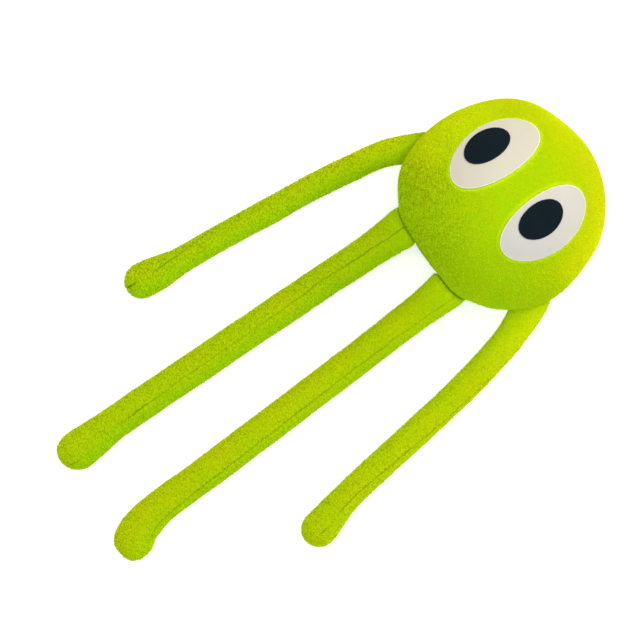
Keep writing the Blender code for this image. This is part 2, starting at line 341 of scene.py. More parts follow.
# %% Slow lumps, for whatever a hand has stuffed or sewn
def lumps(points, waves, seed):
    """Smooth lumps at each point: a sum of waves, each its height and its length in millimetres."""
    total = 0.0
    for number, (height, wave_mm) in enumerate(waves, start=seed):
        scale = 1000.0 / wave_mm
        shift = Vector((number * 17.3, number * -9.1, number * 5.7))
        total = total + height * np.array([noise.noise(Vector(p) * scale + shift) for p in points])
    return total


# %% [markdown]
# ## The limbs' lines
#
# A limb is a tube sewn from one strip of plush. Its middle line is a smooth curve through a few points:
# out of the head, down to the floor and along it. Its radius flares where it is sewn on, runs even, and
# fills out to a bulb at the tip. One function gives the tube, and each limb has its own numbers.

# %% The limbs' sizes and lines
FOOT_TAPER = 0.075
ROOT_FLARE = 0.22
ROOT_FLARE_LENGTH = 0.030
LIMB_SQUASH = 0.002

# fullness and fuller: how full the tube is all along, and (share of the length, mm, reach) where it is fuller
# route: the tube's lowest line, from inside the head to the tip
# bows: (share, mm to the right, reach), where that line bows aside
# seam: (share, degrees from the top, how much of it shows)
# creases: (share, degrees, mm along, mm round, mm deep)
# nap_room: how far the cloth lies under the tips of the nap
# lie: how golden the nap is, partly as painted sheen
# flank: how much greener the lit side and how much more golden the shaded side, as painted light and shade
# root_painted_sheen: painted golden sheen on the outer side of the root
# root_painted_light and in_shade: how much painted light shows near the head, with its reach, and how much
# painted shade
# openness: how far the nap opens between its clumps, with more on the shaded side as painted shade
LEG = {
    "width": 0.053, "foot_width": 0.064, "fullness": 1.0, "fuller": [], "nap_room": 0.0015,
    "root_painted_sheen": 0.0, "in_shade": 0.0,
}
ARM = {"width": 0.045, "foot_width": 0.0585}
LIMBS = {
    "left_leg": {
        **LEG,
        "route": [
            (-0.055, -0.088, 0.064), (-0.058, -0.142, 0.061), (-0.060, -0.226, 0.036),
            (-0.063, -0.310, 0.004), (-0.065, -0.440, 0.000), (-0.067, -0.600, 0.000),
            (-0.0675, -0.700, 0.000), (-0.0655, -0.760, 0.000), (-0.061, -0.7895, 0.000),
        ],
        "bows": [(0.40, 1.6, 0.32), (0.14, 1.0, 0.07), (0.93, 0.9, 0.05), (1.0, 1.0, 0.03)],
        "seam": [
            (0.0, 0, 0.6), (0.30, -3, 0.6), (0.42, 4, 0.35), (0.62, 5, 0.35), (0.70, 10, 0.4),
            (0.80, 13, 0.7), (0.85, 19, 0.3), (0.88, 22, 0.0), (1.0, 34, 0.0),
        ],
        "creases": [(0.978, 28, 11, 2.0, 3.0)],
        "lie": 0.42,
        "flank": (0.55, 0.12),
        "root_painted_light": (0.45, 0.060),
        "openness": 0.65,
        "seed": 3,
    },
    "right_leg": {
        **LEG,
        "route": [
            (0.055, -0.088, 0.064), (0.059, -0.142, 0.061), (0.063, -0.226, 0.036),
            (0.068, -0.310, 0.004), (0.073, -0.440, 0.000), (0.079, -0.600, 0.000),
            (0.081, -0.699, 0.000), (0.090, -0.745, 0.000), (0.116, -0.793, 0.000),
        ],
        "bows": [
            (0.40, 1.1, 0.33), (0.14, 0.9, 0.07), (0.93, 1.8, 0.15), (0.94, -2.0, 0.03), (1.0, 1.2, 0.02),
        ],
        "seam": [
            (0.0, 30, 0.3), (0.20, 26, 0.4), (0.45, 24, 0.6), (0.58, 28, 0.6), (0.80, 36, 0.7),
            (0.90, 44, 0.7), (0.94, 50, 0.0), (1.0, 60, 0.0),
        ],
        "creases": [(0.993, -86, 3.6, 7, 6.5), (0.925, 84, 10, 18, 1.4)],
        "lie": 0.53,
        "flank": (0.36, 0.14),
        "root_painted_light": (0.60, 0.110),
        "openness": 0.55,
        "seed": 7,
    },
    "left_arm": {
        **ARM,
        "fullness": 0.96,
        "fuller": [(0.17, 1.0, 0.06), (0.90, 1.4, 0.04)],
        "nap_room": 0.0021,
        "route": [
            (-0.102, 0.026, 0.068), (-0.129, -0.026, 0.067), (-0.150, -0.065, 0.062),
            (-0.170, -0.110, 0.050), (-0.190, -0.200, 0.014), (-0.200, -0.270, 0.001),
            (-0.212, -0.387, 0.000), (-0.220, -0.480, 0.000), (-0.230, -0.551, 0.000),
        ],
        "bows": [(0.19, -2.6, 0.10), (0.58, 1.9, 0.14)],
        "seam": [
            (0.0, -86, 0.5), (0.50, -78, 0.5), (0.73, -56, 1.0), (0.79, -40, 1.0), (0.85, -25, 1.0),
            (0.89, -14, 0.8), (0.92, -10, 0.0), (1.0, -2, 0.0),
        ],
        "creases": [(0.990, 2, 13, 2.2, 5.2)],
        "lie": 0.34,
        "flank": (0.65, 0.16),
        "root_painted_sheen": 0.35,
        "root_painted_light": (0.28, 0.050),
        "in_shade": 0.48,
        "openness": 0.80,
        "seed": 11,
    },
    "right_arm": {
        **ARM,
        "fullness": 1.04,
        "fuller": [(0.14, 2.6, 0.06)],
        "nap_room": 0.0020,
        "route": [
            (0.102, 0.026, 0.067), (0.133, -0.026, 0.066), (0.157, -0.064, 0.061),
            (0.179, -0.109, 0.049), (0.202, -0.200, 0.014), (0.212, -0.270, 0.001),
            (0.227, -0.387, 0.000), (0.244, -0.480, 0.000), (0.260, -0.547, 0.000),
        ],
        "bows": [(0.09, 1.0, 0.05), (0.15, 3.8, 0.055), (0.65, 2.2, 0.12), (0.93, 1.8, 0.05)],
        "seam": [
            (0.0, 74, 0.5), (0.35, 58, 0.5), (0.55, 44, 0.8), (0.745, 25, 0.85), (0.87, 16, 0.7),
            (0.90, 17, 0.0), (1.0, 10, 0.0),
        ],
        "creases": [(0.944, 14, 11, 1.8, 2.8)],
        "lie": 0.55,
        "flank": (0.10, -0.06),
        "root_painted_sheen": 1.1,
        "root_painted_light": (0.58, 0.130),
        "in_shade": 0.12,
        "openness": 0.60,
        "seed": 19,
    },
}


# %% A smooth line through the points
LINE_SAMPLES = 1200
DIRECTION_STEP = 0.004


def curve_through(points, share):
    """The point at this share (0 to 1) of the points' smooth curve, by their own spacing."""
    spans = len(points) - 1
    span = min(int(share * spans), spans - 1)
    t = share * spans - span
    before = points[max(span - 1, 0)]
    start, end = points[span], points[span + 1]
    after = points[min(span + 2, spans)]
    return 0.5 * (
        2 * start
        + (end - before) * t
        + (2 * before - 5 * start + 4 * end - after) * t**2
        + (3 * start - before - 3 * end + after) * t**3
    )


def even_line(points):
    """The smooth curve as points and the length along it at each."""
    line = np.array([curve_through(points, i / LINE_SAMPLES) for i in range(LINE_SAMPLES + 1)])
    steps = np.linalg.norm(np.diff(line, axis=0), axis=1)
    return line, np.concatenate([[0.0], np.cumsum(steps)])


def along_line(line, lengths, wanted):
    """Points and directions of the line at these lengths along it."""
    places, ahead, behind = (
        np.stack([np.interp(wanted + step, lengths, line[:, i]) for i in range(3)], axis=1)
        for step in (0.0, DIRECTION_STEP, -DIRECTION_STEP)
    )
    return places, unit(ahead - behind)


# %% Three shapes of a change, and the tube's radius along its length
def ease(t):
    """Rises smoothly from 0 to 1 as t does."""
    t = np.clip(t, 0.0, 1.0)
    return t * t * (3 - 2 * t)


def bell(away, width):
    """1 in the middle, and almost nothing two widths away on either side."""
    return np.exp(-((away / width) ** 2))


def fade(away, reach):
    """1 at the start, and less and less over this reach."""
    return np.exp(-np.maximum(away, 0.0) / reach)


def limb_radius(limb, from_root, to_tip):
    """Flared where it is sewn on, even along its length, fuller at the foot, round at the tip."""
    tube = limb["width"] * limb["fullness"] / 2
    foot = limb["foot_width"] / 2
    flare = 1 + ROOT_FLARE * fade(from_root, ROOT_FLARE_LENGTH)
    radius = tube * flare + (foot - tube) * ease(1 - (to_tip - foot) / FOOT_TAPER)
    cap = np.sqrt(np.clip(1 - (1 - np.clip(to_tip, 0.0, foot) / foot) ** 2, 0.0, 1.0))
    return radius * cap


# %% [markdown]
# ## Stuffing, as a cloth simulation
#
# A stuffed skin swells wherever no stitch holds it, so it bulges between the stitches and pulls tight over
# a bend. Blender's cloth does just that: a coarse grid of the cover is held at its stitches and blown up
# with a little pressure and no gravity. The grid is too coarse to be the cloth itself, so only how far each
# point swelled is kept, less the usual swelling, and a smooth curve reads it back onto the fine mesh.

# %% How far a coarse grid of cloth swells when it is stuffed
SWELL_FRAMES = 20
SWELL_CAP = 0.0025


def swelling(name, points, stitched, pressure):
    """How far each point of a closed grid of cloth swells, in metres, less what most of it does."""
    vertices, faces = closed_grid(points, points[0].mean(axis=0), points[-1].mean(axis=0))
    cover = mesh_object(name, vertices, faces, lime_backing)
    face_outwards(cover.data)
    outward = read_values(cover.data.vertex_normals, "vector")
    stitches = cover.vertex_groups.new(name="stitches")
    stitches.add(np.flatnonzero(stitched).tolist(), 1.0, "REPLACE")
    cloth = cover.modifiers.new("stuffing", "CLOTH")
    cloth.settings.quality = 6
    cloth.settings.use_pressure = True
    cloth.settings.uniform_pressure_force = pressure
    cloth.settings.vertex_group_mass = stitches.name
    cloth.settings.effector_weights.gravity = 0.0
    cloth.collision_settings.use_collision = False
    cloth.point_cache.frame_end = SWELL_FRAMES
    for number in range(1, SWELL_FRAMES + 1):
        bpy.context.scene.frame_set(number)
    stuffed = cover.evaluated_get(bpy.context.evaluated_depsgraph_get()).data
    moved = ((read_values(stuffed.vertices, "co") - vertices) * outward).sum(axis=1)
    bpy.data.objects.remove(cover)
    bpy.context.scene.frame_set(1)
    moved = moved[:-2].reshape(points.shape[:2])
    usual = np.median(moved)
    most, least = moved.max() * 1000, moved.min() * 1000
    print(f"{name} swells by {usual * 1000:.1f} mm, from {least:.1f} to {most:.1f}")
    return np.clip(moved - usual, -SWELL_CAP, SWELL_CAP)


def read_grid(grid, row, column):
    """The grid's value at these places, in rows and columns, as a smooth cubic spline that wraps round."""
    total = np.zeros(np.broadcast(row, column).shape)
    near = [np.floor(row).astype(int), np.floor(column).astype(int)]
    weights = []
    for place, whole in zip((row, column), near):
        t = place - whole
        inner = (3 * t**3 - 6 * t**2 + 4) / 6, (-3 * t**3 + 3 * t**2 + 3 * t + 1) / 6
        weights.append([(1 - t) ** 3 / 6, *inner, t**3 / 6])
    for a in range(4):
        for b in range(4):
            r = np.clip(near[0] - 1 + a, 0, grid.shape[0] - 1)
            c = (near[1] - 1 + b) % grid.shape[1]
            total += weights[0][a] * weights[1][b] * grid[r, c]
    return total


# %% [markdown]
# ## Sewing the limbs
#
# A seam is a valley: thread pulls two raw edges in under the nap. Between the stitches the cloth bulges,
# so the valley's sides pucker, and the line of the seam wanders because the strip was turned through a
# narrow tube. The tip is gathered, which leaves a short crease on the bulb. All of it is a change of
# radius over the tube, worked out in real millimetres round and along it.

# %% Seam, puckers and creases as a change of radius
SEAM_CROWDING = 0.6
SEAM_DEPTH = 0.0030
SEAM_HALF_WIDTH = 0.0018
SEAM_SHOULDER = 0.0006
SEAM_SHOULDER_AT = 0.006
SEAM_SHOULDER_WIDTH = 0.0035
SEAM_WANDER = ((3.5, 30), (2.5, 9))
SEAM_CLOSING = ((0.5, 16),)
STITCH_PITCH = 0.0085
PUCKER_DEPTH = 0.0008
PUCKER_REACH = 0.009
PUCKER_OFFSET = 0.9


def seam_at(limb, along, length):
    """The seam's angle from the top of the tube at each row, and how much of it shows there, from 0 to 1.

    It wanders, as turning the tube left it, and the nap closes over it here and there.
    """
    shares, degrees, shown = zip(*limb["seam"])
    rows = np.stack([along, 0 * along, 0 * along], axis=1)
    angle = np.interp(along / length, shares, degrees) + lumps(rows, SEAM_WANDER, limb["seed"])
    closing = 0.8 + lumps(rows, SEAM_CLOSING, limb["seed"] + 5)
    return np.radians(angle), np.interp(along / length, shares, shown) * closing


def wrapped(angle):
    return (angle + np.pi) % (2 * np.pi) - np.pi


def seam_relief(beside, along, shown):
    """How far the surface is drawn in or puffed out, in metres, this far beside the seam."""
    valley = -SEAM_DEPTH * bell(beside, SEAM_HALF_WIDTH) * shown
    shoulder = SEAM_SHOULDER * bell(np.abs(beside) - SEAM_SHOULDER_AT, SEAM_SHOULDER_WIDTH)
    pucker = PUCKER_DEPTH * np.sin(2 * np.pi * along / STITCH_PITCH + np.sign(beside) * PUCKER_OFFSET)
    return valley + shoulder + pucker * fade(np.abs(beside), PUCKER_REACH)


def crease_relief(limb, angle, along, length, radius):
    """Short dents in the tip, each longer one way than the other."""
    total = np.zeros_like(angle)
    for share, degrees, along_mm, round_mm, depth_mm in limb["creases"]:
        beside = wrapped(angle - math.radians(degrees)) * radius * 1000 / round_mm
        down = (along - share * length) * 1000 / along_mm
        total -= depth_mm / 1000 * np.exp(-(beside**2) - down**2)
    return total


# %% The plain tube, and how its cover swells
CLOTH_STEP = 0.0050
STITCH_PULL = 0.0020
LIMB_PRESSURE = 8.0


def limb_frame(limb):
    """The tube's lowest line, the length along it, and how far along it the limb is sewn on."""
    points = [np.array(p) for p in limb["route"]]
    line, lengths = even_line(points)
    for share, aside_mm, reach in limb["bows"]:
        line[:, 0] += aside_mm / 1000 * bell(lengths / lengths[-1] - share, reach)
    return line, lengths, np.linalg.norm(points[1] - points[0])


def tube(limb, along, from_seam):
    """The plain tube at these rows and angles from the seam: its surface, its outward directions and more."""
    line, lengths, root = limb_frame(limb)
    length, foot = lengths[-1], limb["foot_width"] / 2
    places, directions = along_line(line, lengths, along)
    held = limb_radius(limb, along - root, np.maximum(foot, length - along))
    centres = places + np.stack([0 * held, 0 * held, held - LIMB_SQUASH], axis=1)
    sides = unit(np.cross(directions, [0.0, 0.0, 1.0]))
    ups = np.cross(sides, directions)
    angle = from_seam + seam_at(limb, along, length)[0][:, None]
    fuller = sum(mm / 1000 * bell(along / length - share, reach) for share, mm, reach in limb["fuller"])
    radius = (limb_radius(limb, along - root, length - along) + fuller)[:, None] * np.ones_like(angle)
    spokes = -np.sin(angle)[..., None] * sides[:, None, :] + np.cos(angle)[..., None] * ups[:, None, :]
    onward = np.clip(1 - (length - along) / foot, 0, 1)[:, None, None]
    outward = spokes * np.sqrt(1 - onward**2) + directions[:, None, :] * onward
    return centres[:, None, :] + spokes * radius[..., None], outward, angle, radius, centres, directions


def limb_swelling(name, limb, root, length):
    """The coarse cover of a limb, held at its root and at every other point of its seam, and stuffed."""
    columns = int(round(math.pi * limb["width"] / CLOTH_STEP))
    along = np.arange(root - 0.02, length - 0.008, CLOTH_STEP)
    even = np.arange(columns) * 2 * np.pi / columns * np.ones((len(along), 1))
    surface, outward, _, radius, _, _ = tube(limb, along, even)
    drawn_in = STITCH_PULL * bell(wrapped(even) * radius, CLOTH_STEP)
    stitched = np.zeros(even.shape, dtype=bool)
    stitched[::2, 0] = True
    stitched[:4] = True
    grid = swelling(f"{name}_cover", surface - outward * drawn_in[..., None], stitched, LIMB_PRESSURE)

    def swells(row, angle):
        return read_grid(grid, (row - along[0]) / CLOTH_STEP, wrapped(angle) / (2 * np.pi) * columns)

    return swells


# %% The limb's cloth as one closed mesh
TUBE_STEP = 0.0019
ROOT_ROW_STEP = 0.0010
ROOT_ROWS_REACH = 0.03
FULL_RADIUS = 0.012
LIMB_LUMPS = ((0.0010, 55), (0.0005, 22), (0.00045, 5.5))
ROOT_GATHER = 0.0032
ROOT_GATHER_AT = -0.001
ROOT_GATHER_WIDTH = 0.0026
ROOT_ROUNDING = 0.0014
ROOT_ROUNDING_WIDTH = 0.006
NAP_OFF_FLOOR = 0.0006
FLOOR_ROUNDING = 0.002
SEAM_SHADE_WIDTH = 0.0010
CREASE_SHADE = 0.8
CREASE_SHADE_DEPTH = 0.0045


def off_head(points):
    """Roughly how far each point is outside the head, in metres: off the ball or off its flat base."""
    ball = (np.linalg.norm((points - HEAD_CENTRE) / HEAD_SEMI_AXES, axis=-1) - 1) * HEAD_WIDTH / 2
    base = -BASE_REACH - points[..., 1]
    blend = np.maximum(BASE_ROUNDING - np.abs(ball - base), 0) ** 2 / (4 * BASE_ROUNDING)
    return np.maximum(ball, base) + blend


def limb_rows(limb, root, length):
    """Rows along a limb: close where it is sewn on and at its round tip, and even between."""
    foot = limb["foot_width"] / 2
    sewn = np.arange(root - ROOT_ROWS_REACH, root + ROOT_ROWS_REACH, ROOT_ROW_STEP)
    even_rows = int(round((length - foot - root - ROOT_ROWS_REACH) / TUBE_STEP))
    cap_rows = int(round(math.pi / 2 * foot / TUBE_STEP))
    cap = foot * (1 - np.cos(np.linspace(0, np.pi / 2, cap_rows + 1)[1:-1]))[::-1]
    even = np.linspace(root + ROOT_ROWS_REACH, length - foot, even_rows)
    return np.concatenate([[0.0], sewn, even, length - cap])


def make_limb(name, limb):
    line, lengths, root = limb_frame(limb)
    length = lengths[-1]
    columns = int(round(math.pi * limb["width"] / TUBE_STEP))
    along = limb_rows(limb, root, length)
    even = np.arange(columns) * 2 * np.pi / columns
    from_seam, row = np.meshgrid(even - SEAM_CROWDING * np.sin(even), along)
    surface, outward, angle, radius, centres, directions = tube(limb, along, from_seam)
    outward = outward.reshape(-1, 3)
    beside = wrapped(from_seam) * radius
    creases = crease_relief(limb, angle, row, length, radius)
    shown = seam_at(limb, along, length)[1][:, None] * np.ones_like(angle)
    full = np.clip(radius / FULL_RADIUS, 0, 1)
    relief = seam_relief(beside, row, shown) + limb_swelling(name, limb, root, length)(row, from_seam)
    relief = relief * full + creases - limb["nap_room"]
    points = surface.reshape(-1, 3) + outward * relief.reshape(-1, 1)
    outside = off_head(points)
    gathered = ROOT_GATHER * bell(outside - ROOT_GATHER_AT, ROOT_GATHER_WIDTH)
    gathered += ROOT_ROUNDING * fade(outside, ROOT_ROUNDING_WIDTH)
    uneven = lumps(points, LIMB_LUMPS, limb["seed"]) * full.reshape(-1)
    points = points + outward * (uneven - gathered)[:, None]
    points[:, 2] = smooth_floor(points[:, 2], NAP_OFF_FLOOR, FLOOR_ROUNDING)
    middle = np.array([0, 0, limb["foot_width"] / 2 - LIMB_SQUASH])
    tip = line[-1] + middle + relief[-1].mean() * directions[-1]
    obj = mesh_object(name, *closed_grid(points.reshape(*angle.shape, 3), centres[0], tip), lime_backing)
    combed = np.repeat(directions, columns, axis=0)
    store(obj.data, "comb", np.vstack([combed, directions[:1], directions[-1:]]))
    face_outwards(obj.data)
    # How close the seam is, with the creases' depth added: both later darken the nap as painted shade
    in_seam = bell(beside, SEAM_SHADE_WIDTH) * np.clip(1.25 * shown, 0, 1)
    in_seam = np.maximum(in_seam, CREASE_SHADE * ease(-creases / CREASE_SHADE_DEPTH))
    store(obj.data, "in_seam", np.append(in_seam.ravel(), [0.0, 0.0]))
    return obj


limbs = {name: make_limb(f"{name}_cloth", limb) for name, limb in LIMBS.items()}
for name, obj in limbs.items():
    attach(obj, "root")
    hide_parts(f"{name}_cover", f"{name}_stuffing")
    print(name, len(obj.data.vertices), "vertices")

# %% [markdown]
# ## The head's cloth
#
# The front and back of the head meet at one seam that the photograph can't see. Where a limb is sewn on,
# the stitches pull the head in round the limb's root. The felt of an eye covers the nap, so each vertex
# also carries how much nap stands there.

# %% The head's form, and how its cover swells
HEAD_RINGS = 48
HEAD_SPOKES = 88
HEAD_PRESSURE = 1.0


def head_form(ball):
    """The stuffed ball at these directions from its middle, flat at its base and where it rests."""
    points = ball * HEAD_SEMI_AXES + HEAD_CENTRE
    points[..., 1] = smooth_floor(points[..., 1], -BASE_REACH, BASE_ROUNDING)
    points[..., 2] = smooth_floor(points[..., 2], 0.0, SQUASH_ROUNDING)
    return points


def head_swelling():
    """The coarse cover of the head, held where it rests, at its seam and at each limb."""
    polar = np.radians(np.linspace(4, 176, HEAD_RINGS))[:, None]
    around = (np.arange(HEAD_SPOKES) * 2 * np.pi / HEAD_SPOKES)[None, :]
    level = np.sin(polar)
    ball = np.stack([level * np.cos(around), level * np.sin(around), np.cos(polar) + 0 * around], axis=-1)
    points = head_form(ball)
    seam_ring = np.argmin(np.abs(points[:, 0, 2] - PANEL_SEAM_HEIGHT))
    stitched = points[..., 2] < 0.002
    stitched[seam_ring, ::2] = True
    for limb in LIMBS.values():
        sewn = np.array(limb["route"][1]) + np.array([0, 0, limb["width"] / 2])
        stitched |= np.linalg.norm(points - sewn, axis=-1) < limb["width"] * 0.6
    grid = swelling("head_cover", points, stitched, HEAD_PRESSURE)
    step = polar[1, 0] - polar[0, 0]

    def swells(down, round_it):
        return read_grid(grid, (down - polar[0, 0]) / step, round_it / (2 * np.pi) * HEAD_SPOKES)

    return swells


# %% The head as one closed mesh, whose form was stuffed by hand
BALL_DIVISIONS = 7
HEAD_NAP_ROOM = 0.0015
HEAD_SEAM_DEPTH = 0.0030
HEAD_SEAM_WIDTH = 0.0035
HEAD_LUMPS = ((0.0007, 90), (0.0005, 34))
HEAD_LUMPS_SEED = 31
ROOT_PULL = 0.0015
ROOT_PULL_WIDTH = 0.005
ROOT_PULL_REACH = 0.08

# Where its side is fuller: degrees round the head from +X, mm, and over how many degrees
HEAD_FULLNESS = [
    (134, 3.0, 14), (105, -2.8, 17), (64, -1.0, 24), (19, -2.2, 13), (350, 3.6, 17), (327, 1.2, 9),
    (306, -3.2, 10), (172, -2.6, 18), (215, 4.4, 12), (236, -1.6, 8),
]


def make_head():
    bm = bmesh.new()
    bmesh.ops.create_icosphere(bm, subdivisions=BALL_DIVISIONS, radius=1.0)
    mesh = bpy.data.meshes.new("head_cloth")
    bm.to_mesh(mesh)
    bm.free()
    ball = unit(read_values(mesh.vertices, "co"))
    normals = head_normals(ball * HEAD_SEMI_AXES + HEAD_CENTRE)
    points = head_form(ball)
    around = np.arctan2(points[:, 1], points[:, 0])
    beside = points[:, 2] - PANEL_SEAM_HEIGHT
    relief = -HEAD_SEAM_DEPTH * bell(beside, HEAD_SEAM_WIDTH)
    pucker = PUCKER_DEPTH * np.sin(around * HEAD_WIDTH / 2 / STITCH_PITCH * 2 * np.pi)
    relief += pucker * fade(np.abs(beside), PUCKER_REACH)
    relief += lumps(points, HEAD_LUMPS, HEAD_LUMPS_SEED)
    relief += head_swelling()(np.arccos(np.clip(ball[:, 2], -1, 1)), np.arctan2(ball[:, 1], ball[:, 0]))
    steep = 1 - np.abs(normals[:, 2])
    for degrees, fuller_mm, reach in HEAD_FULLNESS:
        relief += fuller_mm / 1000 * bell(np.degrees(wrapped(around - math.radians(degrees))), reach) * steep
    for limb in LIMBS.values():
        start, sewn = (np.array(p) for p in limb["route"][:2])
        axis = unit(sewn - start)
        away = points - (sewn + np.array([0, 0, limb["width"] / 2]))
        near = np.linalg.norm(away, axis=1) < ROOT_PULL_REACH
        away -= (away @ axis)[:, None] * axis
        gap = np.linalg.norm(away, axis=1) - limb["width"] * limb["fullness"] / 2 * (1 + ROOT_FLARE)
        relief -= ROOT_PULL * bell(gap, ROOT_PULL_WIDTH) * near
    points += normals * (relief - HEAD_NAP_ROOM)[:, None]
    points[:, 2] = smooth_floor(points[:, 2], NAP_OFF_FLOOR, FLOOR_ROUNDING)
    mesh.vertices.foreach_set("co", points.ravel())
    mesh.materials.append(lime_backing)
    mesh.shade_smooth()
    store(mesh, "comb", np.cross(np.cross(normals, [0.0, -1.0, 0.0]), normals))
    face_outwards(mesh)
    return placed("head_cloth", mesh)


head = make_head()
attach(head, "root")
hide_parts("head_front_panel", "head_back_panel", "head_stuffing")
print("head", len(head.data.vertices), "vertices")

# %% [markdown]
# ## The eyes
#
# Each eye is two ovals of felt: a cream one and a smaller blue-black one towards the same side. Felt that
# is sewn down has an edge that curls over a little and shows paler, because it catches the light. The
# ovals are cut flat and laid on the ball, so each is measured out from its middle along the surface.

# %% The felt and thread materials
FELT_FIBRE_MM = 1.2


def make_felt(name, base, fleck, flecking, sheen):
    """Pressed felt: a matte, slightly cloudy colour with a fine tangle of fibres as its bump."""
    material = bpy.data.materials.new(name)
    add = emptied(material)
    place = add("ShaderNodeTexCoord").outputs["Object"]
    cloud = add("ShaderNodeTexNoise", inputs={"Vector": place, "Scale": 30.0, "Detail": 3.0})
    tangle = add("ShaderNodeTexNoise", inputs={"Vector": place, "Scale": 1000 / FELT_FIBRE_MM, "Detail": 4.0})
    amount = add("ShaderNodeMath", {"operation": "MULTIPLY"}, {0: cloud, 1: flecking})
    colour = add("ShaderNodeMix", {"data_type": "RGBA"}, {0: amount, 6: linear(base), 7: linear(fleck)})
    bump = add("ShaderNodeBump", inputs={"Strength": 0.35, "Distance": 0.0004, "Height": tangle})
    felt = add("ShaderNodeBsdfPrincipled", inputs={
        "Base Color": colour.outputs[2],
        "Roughness": 0.9,
        "Specular IOR Level": 0.12,
        "Sheen Weight": sheen,
        "Normal": bump,
    })
    add("ShaderNodeOutputMaterial", inputs={"Surface": felt})
    return material


dark_felt = make_felt("blue_black_pressed_felt", "#040f17", "#0a1c26", 0.8, 0.0)
# One cream felt in two copies: the left eye's warmer and the right eye's cooler, as painted light
felts = {
    "left_eye": make_felt("cream_felt_painted_warm_light", "#d0cdc1", "#c2beb0", 0.6, 0.02),
    "left_pupil": dark_felt,
    "right_eye": make_felt("cream_felt_painted_cool_light", "#cbcac8", "#bdbbb9", 0.6, 0.02),
    "right_pupil": dark_felt,
}
threads = {
    "eye": make_felt("pale_viscose_thread", "#e6e6dc", "#dcdcd0", 0.5, 0.06),
    "pupil": make_felt("blue_black_viscose_thread", "#1b2b33", "#22353e", 0.6, 0.02),
}

# %% Where an oval lies on the ball
EYE_ANGLE = 26.7
EYE_RISE = 9.15
EYE_TILT = 3.8
FACE_TURN = -2.3


def eye_axes(side):
    """The eye's middle on the ball, and the directions across it and along it, which lean outwards."""
    turn, rise = math.radians(FACE_TURN + side * EYE_ANGLE), math.radians(EYE_RISE)
    middle = np.array([math.sin(turn) * math.cos(rise), math.sin(rise), math.cos(turn) * math.cos(rise)])
    across = unit(np.cross([0.0, 1.0, 0.0], middle))
    along = np.cross(middle, across)
    tilt = math.radians(-side * EYE_TILT)
    leaning = along * math.cos(tilt) - across * math.sin(tilt)
    return middle, across * math.cos(tilt) + along * math.sin(tilt), leaning


def laid_on_head(axes, x, y, lift):
    """Points x across and y along from the middle, measured over the ball, and lifted off it."""
    middle, across, along = axes
    away = np.hypot(x, y)
    toward = (across * x[..., None] + along * y[..., None]) / np.maximum(away, 1e-9)[..., None]
    angle = (away / (HEAD_WIDTH / 2))[..., None]
    directions = middle * np.cos(angle) + toward * np.sin(angle)
    points = HEAD_CENTRE + directions / np.linalg.norm(directions / HEAD_SEMI_AXES, axis=-1, keepdims=True)
    return points + head_normals(points) * np.asarray(lift)[..., None]


def oval_points(axes, oval, share, inset, turn, lift):
    """Points at these turns round an oval, at a share of its size less an inset."""
    shift, drop, length, width = oval
    x = (width / 2 * share - inset) * np.cos(turn) + shift
    y = (length / 2 * share - inset) * np.sin(turn) - drop
    return laid_on_head(axes, x, y, lift)


# %% The felt ovals
FELT_THICKNESS = 0.0014
EYE_LIFT = 0.0003
FELT_TOP = EYE_LIFT + FELT_THICKNESS
FELT_SPOKES = 120
FELT_RINGS = 26
EYE_LENGTH = 0.1625
EYE_WIDTH = 0.0965

# Each part's node, its slot, its oval (shift, drop, length, width), and how high its felt and its rim lie
PARTS = {
    "eye": ("eye_white", "eye_felt", (0.0, 0.0, EYE_LENGTH, EYE_WIDTH), EYE_LIFT, FELT_TOP - 0.0002),
    "pupil": ("pupil", "pupil_felt", (-0.0125, 0.0046, 0.0785, 0.0541), FELT_TOP - 0.0002, FELT_TOP + 0.0009),
}


def felt_oval(name, axes, oval, lift, material):
    """A closed oval of felt with a rounded, slightly raised edge."""
    share = np.concatenate([np.linspace(0, 0.93, FELT_RINGS)[1:], [0.955, 0.975, 0.99, 1.0, 1.004, 1.0]])
    edge = np.clip((1.0 - share) / 0.045, 0, 1)
    top = FELT_THICKNESS * (0.55 + 0.45 * np.sqrt(1 - (1 - edge) ** 2)) + 0.0005 * bell(share - 0.965, 0.02)
    top[-2:] = [FELT_THICKNESS * 0.25, 0.0]
    turn = np.arange(FELT_SPOKES) * 2 * np.pi / FELT_SPOKES
    surface = oval_points(axes, oval, share[:, None], 0.0, turn, lift + top[:, None])
    middles = oval_points(axes, oval, np.zeros(2), 0.0, 0.0, lift + np.array([top[0], 0.0]))
    obj = mesh_object(name, *closed_grid(surface, *middles), material)
    face_outwards(obj.data)
    return obj


def make_eye(side_name, side):
    axes = eye_axes(side)
    for part, (node, slot, oval, lift, _) in PARTS.items():
        piece = felt_oval(f"{side_name}_{part}_felt", axes, oval, lift, felts[f"{side_name}_{part}"])
        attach(piece, "root")
        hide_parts(f"{side_name}_{node}")
    return axes


eyes = {"left": make_eye("left", -1), "right": make_eye("right", 1)}

# %% [markdown]
# ## The satin stitch round each eye
#
# Each oval is held by satin stitch: threads laid side by side across its edge, so close that they read as
# one raised, slightly glossy rim. Geometry Nodes lay one thread at every pitch along the edge, turned
# across it. Real satin stitch has about two threads to the millimetre. Here it is drawn a little coarser,
# so that single threads still show in a close view.

# %% A node tree with named inputs, and the one that lays satin stitch
THREAD_SIZES = (0.9, 1.12)


def new_tree(name, taken, given, made):
    """An empty tree from one geometry to another: itself, the helper that adds to it, and its inputs."""
    tree = bpy.data.node_groups.new(name, "GeometryNodeTree")
    for key, kind in ((taken, "Geometry"), *given):
        tree.interface.new_socket(key, in_out="INPUT", socket_type=f"NodeSocket{kind}")
    tree.interface.new_socket(made, in_out="OUTPUT", socket_type="NodeSocketGeometry")
    add = partial(add_node, tree)
    return tree, add, add("NodeGroupInput").outputs


